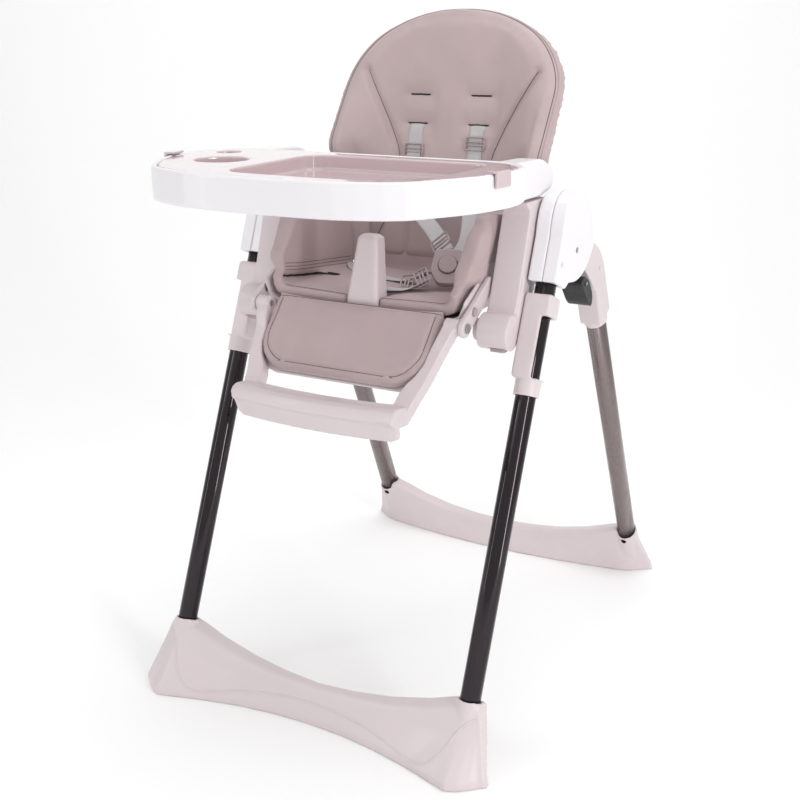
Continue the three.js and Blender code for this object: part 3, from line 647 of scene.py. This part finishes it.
def back_sheet(name, front, back):
    """The backrest's curved sheet between two depths behind its front surface."""
    across, rise = 48, 60
    bm = bmesh.new()
    loops = []
    for j in range(rise + 1):
        loop = [
            bm.verts.new(at(*back_at(2 * i / across - 1, j / rise, depth)))
            for depth, order in ((front, range(across + 1)), (back, range(across, -1, -1)))
            for i in order
        ]
        loops.append(loop)
    bridged(bm, loops)
    return meshed(bm, name)


def back_rim(co):
    """0 at the rim of the backrest, 1 well inside it."""
    x, _, z = co / MM
    inside = BACK_HALF * math.sqrt(max(0.0, 1 - (max(0.0, z - DOME_Z) / 131) ** 2))
    return 0.12 + 0.88 * ease(min(back_half(z) - abs(x), inside - abs(x), 1034 - z), 0, 30)


back = even_skin(back_sheet("backrest_cushion", -2, 28), 4.5, "backrest_cushion", 0, 14)
back = blown_up(back, "backrest_cushion", 6, back_rim)
bolsters = [laid(back, through(points), BACKWARD) for points in (BOLSTER, mirror(BOLSTER))]
slots = [
    laid(back, through([(x - 18, 0, z), (x, 0, z), (x + 18, 0, z)]), BACKWARD)
    for x in (-54, 54) for z in (857, 902)
]
for seam in bolsters:
    pressed(back, seam, 7, 7)
    pressed(back, seam, 3, 2.5)
for seam in slots:
    pressed(back, seam, 3, 13)
    pressed(back, seam, 5, 3)
for x in (-84, -26, 26, 84):
    pressed(back, laid(back, through([(x, 0, 835), (x, 0, 880), (x, 0, 918)]), BACKWARD), 1.2, 8)
for x in (-55, 55):
    pressed(back, laid(back, through([(x, 0, 645), (x, 0, 700), (x, 0, 740)]), BACKWARD), 4, 4)
piece("backrest_cushion", back, "backrest", "leather", ["backrest_pad"])


def tucked(x, y, z):
    """The shell drawn in a little behind the cushion's rim."""
    high = DOME_Z + (z - DOME_Z) * 0.965 if z > DOME_Z else z
    return x * (1 - 0.035 * ease(z, 760, 850)), y, high


shell = softened(welded(NODES["backrest_shell"].data), 2.4, 6, "backrest_shell_moulding")
piece("backrest_shell_moulding", reshaped(shell, tucked), "backrest", "blush", ["backrest_shell"])
cords("backrest_piping", [nearest(back, through(rim_line(17)))], "backrest", "leather", 2.2, 0.9)
# Painted shade: dark cords laid in the rim seam and the bolster grooves stand for the shade in them.
cords("backrest_rim_seam", [nearest(back, through(rim_line(12)))], "backrest", "seam", 0.7)
cords("backrest_seams", relaid(back, bolsters, BACKWARD, 0.3), "backrest", "seam", 1.0, 0.6)
# Painted shade: black cords fill the harness slots where the openings lie in shade.
cords("backrest_slit_shade", relaid(back, slots, BACKWARD, 0), "backrest", "black", 1.6, 0.5)

# Seat: wings that reach forward of the columns, a hem above the seat surface.
WING_RIM = [(634, -225), (640, -205), (660, -174), (742, -99), (758, -66), (762, 6)]
WING_FRONT = [(634, -225), (655, -214), (677, -212), (700, -198), (723, -186), (750, -176),
              (762, 6)]


def between(table, z):
    """Straight-line value of a table of (z, value) rows."""
    if z <= table[0][0]:
        return table[0][1]
    for (z0, a), (z1, b) in zip(table, table[1:]):
        if z <= z1:
            return a + (b - a) * (z - z0) / (z1 - z0)
    return table[-1][1]


def winged(x, y, z):
    """Wings drawn forward, most at their front rim and not at all 70 mm behind it."""
    if abs(x) < 140 or z < 634:
        return x, y, z
    rim = between(WING_RIM, z)
    near = 1 - min(1.0, max(0.0, (y - rim) / 70))
    forward = (between(WING_FRONT, min(z, 752)) - rim) * near
    return x, y + min(0.0, forward), z


def splayed(x, y, z):
    """Wings spreading outwards above the seat, and wrapping round the front of the columns."""
    if abs(x) < 140 or z < 640:
        return x, y, z
    column = -168 + 0.3 * (z - 640)
    wrap = 13 * ease(column - 3 - y, 0, 10) * ease(z, 645, 668)
    spread = 9 * ease(z, 650, 735)
    return x + math.copysign(max(spread, wrap), x) * ease(abs(x), 140, 165), y, z


seat = even_skin(welded(NODES["seat_pad"].data), 5, "seat_cushion")
seat = even_skin(reshaped(seat, winged), 5, "seat_cushion", 1.2)
seat = blown_up(reshaped(seat, splayed), "seat_cushion", 5)
HEM = [(0, -206, 645), (0, -160, 639), (0, -100, 634), (0, -40, 629), (0, 0, 626)]
DOWN = (0, 0, -1)
hems, gap_shade_lines = [], []
for side in (-1, 1):
    sideways = (side, 0, 0)
    wall = [(side * 90, y, z) for _, y, z in HEM]
    gap = laid(seat, through([(x, y, z - 6) for x, y, z in wall]), sideways)
    pressed(seat, gap, 8, 5)
    rows = [
        laid(seat, through([(x, y, z + rise) for x, y, z in wall]), sideways) for rise in (4, 9, 14)
    ]
    for row in rows:
        pressed(seat, row, 0.9, 2)
    hems += relaid(seat, rows, sideways, 0)
    gap_shade_lines += relaid(seat, [gap], sideways, 0)
front_edge = [(x, -213, 0.6 * abs(x) / 100 + 620) for x in (-136, -70, 0, 70, 136)]
front_hem = laid(seat, through(front_edge), DOWN)
pressed(seat, front_hem, 1.2, 3)
piece("seat_cushion", seat, "carriage", "leather", ["seat_pad"])
# Painted shade: dark cords along the hem rows and the front hem stand for the shade in their pressed
# grooves.
cords("seat_stitching", hems + [front_hem], "carriage", "seam", 0.6, 0.5)
# Painted shade: black cords in the pressed gap under each wing.
cords("seat_wing_gap_shade", gap_shade_lines, "carriage", "black", 2.0, 0.6)

# Leg rest: one panel from the seat's front seam to its rounded end.
LEG_DOWN = Vector((0, -0.643, -0.766))
LEG_UP = Vector((0, -0.766, 0.643))
INTO_LEG = tuple(-LEG_UP)


def leg_at(x, along, up=0.0):
    """A point of the leg rest in the drawing, by its run down the panel and height above it."""
    p = Vector((x, -238, 602)) + LEG_DOWN * along + LEG_UP * up
    return tuple(p)


def leg_half(along, half=143, end=107, radius=62):
    over = max(0.0, along - (end - radius))
    return half - radius + math.sqrt(max(0.0, radius**2 - over**2)) if over else half


def leg_panel():
    rows = [-21, -14, -8, 0, 10, 25, 38, 46, 54, 62, 70, 78, 85, 91, 96, 100, 103.5, 106]
    bm = bmesh.new()
    loops = []
    for along in rows:
        half = leg_half(along)
        low = -11.4 * ease(along, -24, 4)
        xs = [half * (k / 10 - 1) for k in range(21)]
        loop = [bm.verts.new(at(*leg_at(x, along, 5))) for x in xs]
        loop += [bm.verts.new(at(*leg_at(x, along, min(low, 1)))) for x in reversed(xs)]
        loops.append(loop)
    bridged(bm, loops)
    return meshed(bm, "legrest_cushion")


def leg_line(inset, top, steps=8):
    """Down one side of the panel, round its end and up the other."""
    half, end, radius = 143 - inset, 107 - inset, 62 - inset
    right = [(half, top), (half, 20), (half, end - radius)]
    right += [
        (half - radius + radius * math.cos(turn), end - radius + radius * math.sin(turn))
        for turn in (math.pi / 2 * k / steps for k in range(1, steps + 1))
    ]
    plan = right + [(-x, along) for x, along in right][::-1]
    return [leg_at(x, along) for x, along in plan]


leg = blown_up(even_skin(leg_panel(), 4.5, "legrest_cushion"), "legrest_cushion", 4)
leg_seam = laid(leg, through(leg_line(15, -12)), INTO_LEG)
leg_edge = laid(leg, through(leg_line(4, -12)), INTO_LEG)
leg_top = laid(leg, through([leg_at(x, -15) for x in (-138, -70, 0, 70, 138)]), INTO_LEG)
pressed(leg, leg_seam, 2.2, 2.6)
pressed(leg, leg_top, 1.5, 2.5)
KNEE = ("carriage", "legrest", at(*leg_at(0, -14)), at(*leg_at(0, 12)))
piece("legrest_cushion", leg, KNEE, "leather", ["legrest_pad"])
cords("legrest_piping", [leg_edge], KNEE, "leather", 2.0, 0.9, -0.4)
# Painted shade: dark cords in the pressed seam and top groove; the stitch runs along the piping use the
# same dark colour.
cords("legrest_seams", relaid(leg, [leg_seam, leg_top], INTO_LEG, 0.2), KNEE, "seam", 0.7)
leg_stitches = stitch_runs([(p + n * 0.0002, n) for p, n in leg_edge])
cords("legrest_stitching", leg_stitches, KNEE, "seam", 0.4)


def grid_slab(name, rows, thick):
    """A thin padded flap through rows of drawing points, `thick` mm deep on its far side."""
    bm = bmesh.new()
    verts = [[bm.verts.new(at(*p)) for p in row] for row in rows]
    for a, b in zip(verts, verts[1:]):
        for k in range(len(a) - 1):
            bm.faces.new((a[k], a[k + 1], b[k + 1], b[k]))
    obj = bpy.data.objects.new(name, meshed(bm, name))
    SCENE.collection.objects.link(obj)
    solid = obj.modifiers.new("thickness", "SOLIDIFY")
    solid.thickness = thick * MM
    solid.offset = 0
    obj.modifiers.new("round", "SUBSURF").levels = 2
    return final_mesh(obj, name)


# The fold of fabric that closes the joint between seat and backrest.
WAIST = ("carriage", "backrest", at(0, 4, 616), at(0, 14, 646))
FOLD = [(2, 617), (9, 621), (13, 630), (16, 642), (20, 656)]
flap = grid_slab("waist_flap", [[(x, y + 3, z) for x in range(-126, 127, 14)] for y, z in FOLD], 7)
piece("waist_flap", flap, WAIST, "leather")
GUSSET = ("carriage", "backrest", at(0, 4, 690), at(0, 34, 690))
for name, side in SIDES:
    rows = []
    for z in range(630, 771, 14):
        low = Vector((side * 158, 0, z))
        high = Vector((side * (back_half(z) - 12), back_y(0, z) + 12, z))
        rows.append([tuple(low.lerp(high, k / 6)) for k in range(7)])
    gusset = grid_slab(f"waist_gusset_{name}", rows, 5)
    piece(f"waist_gusset_{name}", gusset, GUSSET, "leather")


# ---------------------------------------------------------------- harness
def webbing(name, points, across, width, body, stands_for=(), thick=2.0):
    """A flat woven strap along a smooth line, its UVs counted in threads."""
    line = through(points, 4)
    side = Vector(across).normalized()
    columns = [k / 4 - 1 for k in range(9)]
    bm = bmesh.new()
    uv = bm.loops.layers.uv.new("weave")
    rings = []
    run = 0.0
    for i, p in enumerate(line):
        ahead = (line[min(i + 1, len(line) - 1)] - line[max(i - 1, 0)]).normalized()
        wide = (side - ahead * side.dot(ahead)).normalized()
        up = wide.cross(ahead)
        run += (p - line[i - 1]).length / MM if i else 0
        ring = []
        for face in (1, -1):
            for c in columns if face > 0 else reversed(columns):
                hem = 1 - 0.55 * abs(c) ** 6
                spot = p + wide * c * width / 2 * MM + up * face * hem * thick / 2 * MM
                ring.append((bm.verts.new(spot), (c * width / 2, run)))
        rings.append(ring)
    for a, b in zip(rings, rings[1:]):
        for k in range(len(a)):
            n = (k + 1) % len(a)
            corners = (a[k], a[n], b[n], b[k])
            face = bm.faces.new([v for v, _ in corners])
            for loop, (_, place) in zip(face.loops, corners):
                loop[uv].uv = place
    for ring, flip in ((rings[0], True), (rings[-1], False)):
        cap = [v for v, _ in ring]
        bm.faces.new(cap[::-1] if flip else cap)
    return piece(name, meshed(bm, name), body, "web", stands_for)


def ladder(name, place, along, face, body, width=33, height=20, bar=2.4):
    """A ladder-lock adjuster: a rounded frame of bars with a middle bar, lying on the strap."""
    centre = at(*place)
    up = Vector(along).normalized()
    out = Vector(face).normalized()
    side = up.cross(out).normalized()
    out = side.cross(up)
    w, h = width / 2 * MM, height / 2 * MM
    corner = 3 * MM

    def spot(a, b):
        return (centre + side * a + up * b, out)

    frame_line = []
    for cx, cy, start in ((1, 1, 0), (-1, 1, 90), (-1, -1, 180), (1, -1, 270)):
        for k in range(5):
            turn = math.radians(start + 22.5 * k)
            frame_line.append(spot(cx * (w - corner) + corner * math.cos(turn),
                                   cy * (h - corner) + corner * math.sin(turn)))
    frame_line.append(frame_line[0])
    lines = [frame_line]
    for b in (-0.3, 0.25):
        lines.append([spot(a * w, b * h) for a in (-1, -0.5, 0, 0.5, 1)])
    return cords(name, lines, body, "mauve", bar / 2, 1.25)


def pad_front(z, off=7.0):
    return 62 + 0.2 * (z - 856) - off


CHEST = ("backrest", "carriage", at(0, 42, 780), at(0, -60, 700))
ACROSS = (1, 0, 0)
webbing("shoulder_webbing_right",
        [(54, pad_front(858, -6), 859), (54, pad_front(850, 6), 851), (54, pad_front(815, 9), 815),
         (60, 30, 776), (78, -16, 731), (96, -66, 696), (97, -98, 678)],
        ACROSS, 25, CHEST, ["shoulder_strap_right"])
webbing("shoulder_webbing_left",
        [(-54, pad_front(858, -6), 859), (-54, pad_front(850, 6), 851), (-54, pad_front(815, 9), 815),
         (-48, 26, 776), (-20, -14, 735), (36, -58, 702), (74, -92, 679)],
        ACROSS, 25, CHEST, ["shoulder_strap_left"])
for name, side, z in (("left", -1, 815), ("right", 1, 829)):
    place = (side * 54, pad_front(z, 11), z)
    ladder(f"shoulder_adjuster_{name}", place, (0, 0.2, 1), (0, -1, 0.2), CHEST)
webbing("lap_webbing_right", [(140, -4, 651), (130, -30, 648), (118, -66, 648), (108, -92, 652)],
        (0.35, 0.1, 1), 20, "carriage", ["lap_strap_right"])
webbing("lap_webbing_left",
        [(-138, -14, 631), (-104, -56, 630), (-50, -92, 630), (10, -112, 632), (40, -118, 640),
         (62, -122, 652)],
        (0.5, 1, 0), 20, "carriage", ["lap_strap_left"])
webbing("crotch_webbing", [(4, -168, 629), (30, -168, 630), (52, -162, 633), (76, -146, 645)],
        (0.2, 1, 0), 25, "carriage", ["crotch_strap"])
for name, place, along, face in (
    ("lap_adjuster", (38, -150, 638), (1, 0.2, 0.2), (0.1, -0.6, 1)),
    ("crotch_adjuster", (64, -152, 648), (0.9, 0.4, 0.6), (-0.3, -0.8, 0.6)),
    ("chest_adjuster", (70, -104, 694), (-0.6, 0.5, 0.6), (-0.3, -0.8, 0.5)),
):
    ladder(name, place, along, face, "carriage", 31, 20, 3)


# ---------------------------------------------------------------- stage
def stage():
    """Pale seamless floor and backdrop."""
    bm = bmesh.new()
    depth, bend, height, half = 2.6, 1.2, 4.0, 5.0
    profile = [(-4.5, 0.0), (depth - bend, 0.0)]
    for i in range(1, 13):
        turn = math.pi / 2 * i / 12
        profile.append((depth - bend + bend * math.sin(turn), bend * (1 - math.cos(turn))))
    profile.append((depth, height))
    rows = [[bm.verts.new((x, y, z)) for x in (-half, half)] for y, z in profile]
    for low, high in zip(rows, rows[1:]):
        bm.faces.new((low[0], low[1], high[1], high[0]))
    mesh = bpy.data.meshes.new("floor")
    bm.to_mesh(mesh)
    bm.free()
    mesh.shade_smooth()
    obj = bpy.data.objects.new("floor", mesh)
    obj.rotation_euler = (0, 0, math.radians(28))
    SCENE.collection.objects.link(obj)
    made, tree, bsdf = shader("pale_floor", (0.99, 0.99, 0.99), 0.9)
    bump(tree, bsdf, noise(tree, 30, 3), 0.0003, 0.2)
    mesh.materials.append(made)


def area_light(name, place, target, size, power):
    data = bpy.data.lights.new(name, "AREA")
    data.shape = "RECTANGLE"
    data.size, data.size_y = size
    data.energy = power
    obj = bpy.data.objects.new(name, data)
    obj.location = place
    obj.rotation_euler = (Vector(target) - Vector(place)).to_track_quat("-Z", "Y").to_euler()
    SCENE.collection.objects.link(obj)


stage()
CENTRE = (0, 0, 0.55)
area_light("key", (-1.6, -2.2, 2.6), CENTRE, (1.8, 1.8), 8)
area_light("fill", (2.6, -1.4, 1.5), CENTRE, (1.4, 2.0), 3)
area_light("top", (0.2, 0.3, 3.0), CENTRE, (2.2, 2.2), 24)
area_light("left_strip", (-1.5, -1.7, 0.9), CENTRE, (0.08, 2.6), 6)
area_light("right_strip", (2.1, -1.0, 0.9), CENTRE, (0.2, 2.6), 22)
world = bpy.data.worlds.new("studio")
SCENE.world = world
world.use_nodes = True
world.node_tree.nodes["Background"].inputs["Color"].default_value = (1, 1, 1, 1)
world.node_tree.nodes["Background"].inputs["Strength"].default_value = 0.7
SCENE.view_settings.view_transform = "Standard"

# ---------------------------------------------------------------- camera
CAMERA_PLACE = at(799.5, -1602.2, 962.7)
CAMERA_AIM = at(0, -98, 433.7)
CAMERA_ROLL = 0.482
camera_data = bpy.data.cameras.new("camera")
camera_data.lens = 50
camera_data.sensor_width = 36
camera = bpy.data.objects.new("camera", camera_data)
camera.location = CAMERA_PLACE
look = (CAMERA_AIM - CAMERA_PLACE).to_track_quat("-Z", "Y").to_matrix()
camera.rotation_euler = (look @ Matrix.Rotation(math.radians(CAMERA_ROLL), 3, "Z")).to_euler()
SCENE.collection.objects.link(camera)
SCENE.camera = camera
